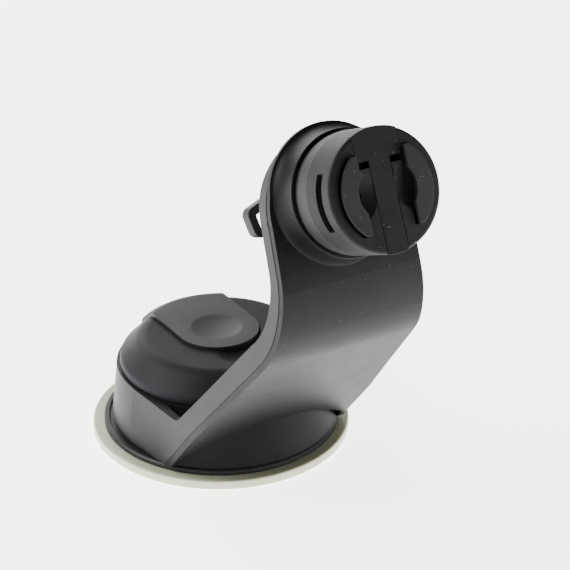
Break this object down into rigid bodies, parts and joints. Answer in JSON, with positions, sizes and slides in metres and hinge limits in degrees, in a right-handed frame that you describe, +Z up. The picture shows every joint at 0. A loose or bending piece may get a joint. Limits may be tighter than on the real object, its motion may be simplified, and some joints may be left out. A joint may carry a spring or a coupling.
{
  "type": "car phone mount",
  "caption": "Dashboard phone mount: round suction base with release lever, swinging arm, and a clamped tilting head with a twist-lock face.",
  "frame": {"origin": "centre of the suction pad's flat underside", "axes": "+Z up from the surface it sticks to, the arm leans out towards -Y, the lever's hinge is towards +Y, +X to the side"},
  "size_m": [0.076, 0.1306, 0.1258],
  "materials": {
    "gel": "satin soft gel",
    "diaphragm": "matte",
    "housing": "fine matte",
    "washer": "smooth",
    "chassis": "fine matte",
    "steel": "satin",
    "cap": "soft-touch matte",
    "stem": "turned",
    "yoke": "matte",
    "lever": "soft-touch matte",
    "frame": "satin",
    "cover": "fine grain satin",
    "skirt": "fine matte",
    "cup": "smooth",
    "ball": "satin",
    "head": "fine spark texture",
    "lug": "satin",
    "slider": "satin",
    "knob": "matte"
  },
  "bodies": {
    "base": {"gel_pad": "gel", "suction_diaphragm": "diaphragm", "base_housing": "housing", "swivel_washer": "washer", "upper_chassis": "chassis", "chassis_screws": "steel", "dome_cap": "cap"},
    "stem": {"stem_post": "stem", "lever_yoke": "yoke", "yoke_pin": "steel", "lever_pin": "steel"},
    "lever": {"release_lever": "lever"},
    "arm": {"arm_frame": "frame", "arm_cover": "cover", "arm_skirt": "skirt", "cover_screws": "steel", "socket_cup": "cup"},
    "tilt": {"pressure_washer": "steel"},
    "ball": {"swivel_ball": "ball", "ball_stud": "steel", "head_clip": "steel"},
    "knob": {"clamp_knob": "knob", "knob_nut": "steel"},
    "head": {"head_housing": "head", "face_plate": "head", "bayonet_lugs": "lug", "head_screws": "steel"},
    "slider": {"lock_slider": "slider", "slider_spring": "steel"}
  },
  "joints": [
    {"name": "stem_slide", "type": "slide", "parent": "base", "child": "stem", "axis": [0, 0, -1], "range_m": [0, 0.00265], "deforming": ["suction_diaphragm"]},
    {"name": "lever_hinge", "type": "hinge", "parent": "stem", "child": "lever", "pos_m": [0, 0.017, 0.026], "axis": [-1, 0, 0], "range_deg": [0, 35]},
    {"name": "arm_swivel", "type": "hinge", "parent": "base", "child": "arm", "pos_m": [0, 0, 0.0116], "axis": [0, 0, 1], "continuous": true},
    {"name": "head_tilt", "type": "hinge", "parent": "arm", "child": "tilt", "pos_m": [0, -0.07243, 0.10487], "axis": [1, 0, 0], "range_deg": [-10, 10]},
    {"name": "head_pan", "type": "hinge", "parent": "tilt", "child": "ball", "pos_m": [0, -0.07243, 0.10487], "axis": [0, 0.4147, 0.91], "range_deg": [-10, 10]},
    {"name": "knob_turn", "type": "hinge", "parent": "ball", "child": "knob", "pos_m": [0, -0.04968, 0.0945], "axis": [0, -0.91, 0.4147], "range_deg": [-90, 180]},
    {"name": "head_roll", "type": "hinge", "parent": "ball", "child": "head", "pos_m": [0, -0.07698, 0.10694], "axis": [0, -0.91, 0.4147], "continuous": true},
    {"name": "slider_press", "type": "slide", "parent": "head", "child": "slider", "axis": [0, -0.4147, -0.91], "range_m": [0, 0.0015], "stiffness_N_per_m": 400}
  ],
  "couplings": [
    {"joint": "stem_slide", "follows": "lever_hinge", "m_per_rad": 0.004256}
  ]
}
